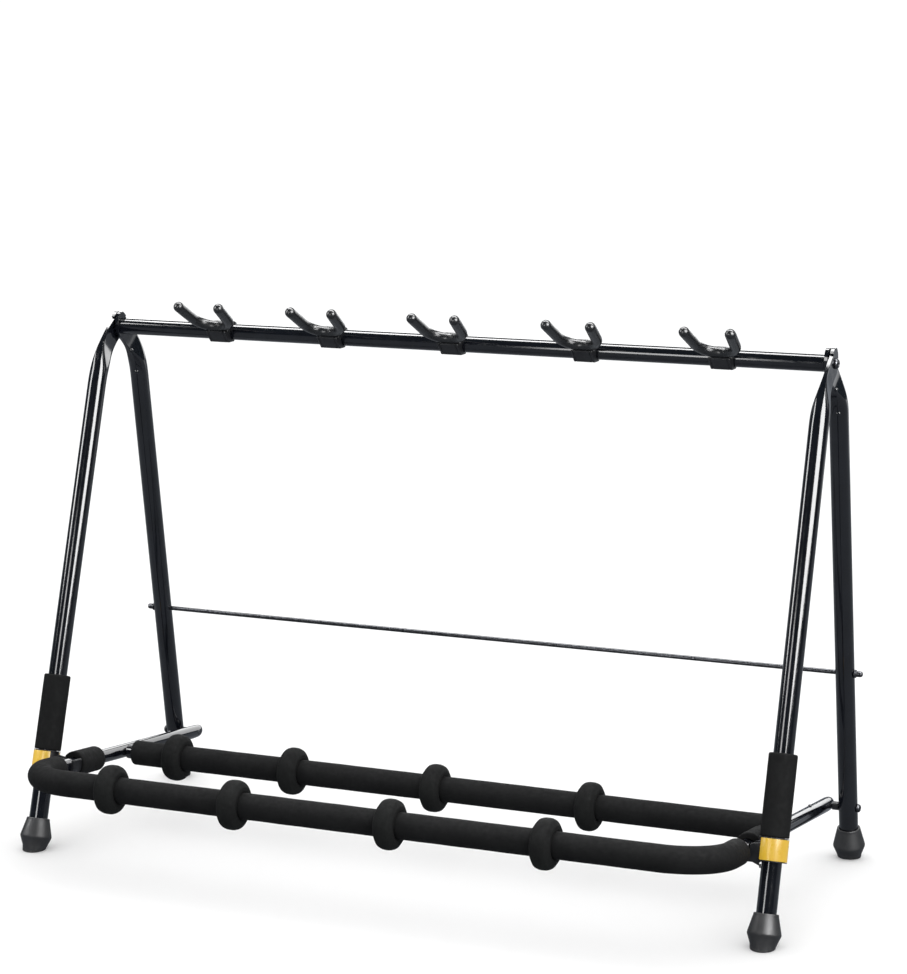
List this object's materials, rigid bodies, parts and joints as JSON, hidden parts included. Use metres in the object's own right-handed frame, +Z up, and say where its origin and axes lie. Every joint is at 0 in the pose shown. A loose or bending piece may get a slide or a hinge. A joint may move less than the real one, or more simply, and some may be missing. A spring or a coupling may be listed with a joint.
{
  "type": "guitar rack",
  "caption": "Folding A-frame floor rack with foam-covered lower bars, sliding foam spacers and sliding neck yokes on a top rail.",
  "frame": {"origin": "at floor level, under the middle of the bounding box", "axes": "+X along the top rail, -Y the side that the guitars face, +Z up"},
  "size_m": [1.083, 0.5358, 0.7375],
  "materials": {
    "black_paint": "gloss black powder coat",
    "foam": "matte closed-cell foam",
    "foot_rubber": "satin moulded rubber",
    "yoke_rubber": "satin moulded rubber",
    "black_plastic": "satin moulded",
    "yellow_plastic": "gloss",
    "black_fasteners": "black oxide",
    "rod_steel": "black semi-gloss"
  },
  "bodies": {
    "front_frame": {"top_rail": "black_paint", "front_leg_left": "black_paint", "front_foot_left": "foot_rubber", "leg_sleeve_left": "foam", "saddle_left": "black_plastic", "collar_left": "yellow_plastic", "stop_screw_left": "black_fasteners", "rail_plug_left": "black_fasteners", "hinge_bolt_left": "black_fasteners", "hinge_washer_left": "black_plastic", "front_leg_right": "black_paint", "front_foot_right": "foot_rubber", "leg_sleeve_right": "foam", "saddle_right": "black_plastic", "collar_right": "yellow_plastic", "stop_screw_right": "black_fasteners", "rail_plug_right": "black_fasteners", "hinge_bolt_right": "black_fasteners", "hinge_washer_right": "black_plastic"},
    "rear_frame": {"cross_rod": "rod_steel", "rear_leg_left": "black_paint", "rear_foot_left": "foot_rubber", "rod_cap_left": "black_fasteners", "pivot_bolt_left": "black_fasteners", "pivot_spacer_left": "black_plastic", "rear_leg_right": "black_paint", "rear_foot_right": "foot_rubber", "rod_cap_right": "black_fasteners", "pivot_bolt_right": "black_fasteners", "pivot_spacer_right": "black_plastic"},
    "lower_frame": {"lower_frame_tube": "black_paint", "rear_bar_tube": "black_paint", "front_bar_foam": "foam", "rear_bar_foam": "foam", "arm_foam_left": "foam", "arm_screw_left": "black_fasteners", "arm_foam_right": "foam", "arm_screw_right": "black_fasteners"},
    "front_spacer_1": {"front_spacer_1": "foam"},
    "front_spacer_2": {"front_spacer_2": "foam"},
    "front_spacer_3": {"front_spacer_3": "foam"},
    "front_spacer_4": {"front_spacer_4": "foam"},
    "rear_spacer_1": {"rear_spacer_1": "foam"},
    "rear_spacer_2": {"rear_spacer_2": "foam"},
    "rear_spacer_3": {"rear_spacer_3": "foam"},
    "rear_spacer_4": {"rear_spacer_4": "foam"},
    "yoke_1": {"yoke_clip_1": "black_plastic", "yoke_fork_1": "yoke_rubber"},
    "yoke_2": {"yoke_clip_2": "black_plastic", "yoke_fork_2": "yoke_rubber"},
    "yoke_3": {"yoke_clip_3": "black_plastic", "yoke_fork_3": "yoke_rubber"},
    "yoke_4": {"yoke_clip_4": "black_plastic", "yoke_fork_4": "yoke_rubber"},
    "yoke_5": {"yoke_clip_5": "black_plastic", "yoke_fork_5": "yoke_rubber"}
  },
  "joints": [
    {"name": "rear_legs_fold", "type": "hinge", "parent": "front_frame", "child": "rear_frame", "pos_m": [0, 0.1093, 0.69], "axis": [-1, 0, 0], "range_deg": [0, 26]},
    {"name": "lower_frame_lift", "type": "hinge", "parent": "rear_frame", "child": "lower_frame", "pos_m": [0, 0.23866, 0.072], "axis": [-1, 0, 0], "range_deg": [0, 65]},
    {"name": "front_spacer_1_slide", "type": "slide", "parent": "lower_frame", "child": "front_spacer_1", "axis": [1, 0, 0], "range_m": [-0.05, 0.06]},
    {"name": "front_spacer_2_slide", "type": "slide", "parent": "lower_frame", "child": "front_spacer_2", "axis": [1, 0, 0], "range_m": [-0.08, 0.085]},
    {"name": "front_spacer_3_slide", "type": "slide", "parent": "lower_frame", "child": "front_spacer_3", "axis": [1, 0, 0], "range_m": [-0.085, 0.085]},
    {"name": "front_spacer_4_slide", "type": "slide", "parent": "lower_frame", "child": "front_spacer_4", "axis": [1, 0, 0], "range_m": [-0.085, 0.12]},
    {"name": "rear_spacer_1_slide", "type": "slide", "parent": "lower_frame", "child": "rear_spacer_1", "axis": [1, 0, 0], "range_m": [-0.045, 0.065]},
    {"name": "rear_spacer_2_slide", "type": "slide", "parent": "lower_frame", "child": "rear_spacer_2", "axis": [1, 0, 0], "range_m": [-0.07, 0.085]},
    {"name": "rear_spacer_3_slide", "type": "slide", "parent": "lower_frame", "child": "rear_spacer_3", "axis": [1, 0, 0], "range_m": [-0.085, 0.085]},
    {"name": "rear_spacer_4_slide", "type": "slide", "parent": "lower_frame", "child": "rear_spacer_4", "axis": [1, 0, 0], "range_m": [-0.085, 0.15]},
    {"name": "yoke_1_slide", "type": "slide", "parent": "front_frame", "child": "yoke_1", "axis": [1, 0, 0], "range_m": [-0.085, 0.045]},
    {"name": "yoke_2_slide", "type": "slide", "parent": "front_frame", "child": "yoke_2", "axis": [1, 0, 0], "range_m": [-0.045, 0.05]},
    {"name": "yoke_3_slide", "type": "slide", "parent": "front_frame", "child": "yoke_3", "axis": [1, 0, 0], "range_m": [-0.045, 0.05]},
    {"name": "yoke_4_slide", "type": "slide", "parent": "front_frame", "child": "yoke_4", "axis": [1, 0, 0], "range_m": [-0.055, 0.05]},
    {"name": "yoke_5_slide", "type": "slide", "parent": "front_frame", "child": "yoke_5", "axis": [1, 0, 0], "range_m": [-0.05, 0.06]}
  ],
  "couplings": [
    {"joint": "lower_frame_lift", "follows": "rear_legs_fold", "ratio": 2.5}
  ]
}
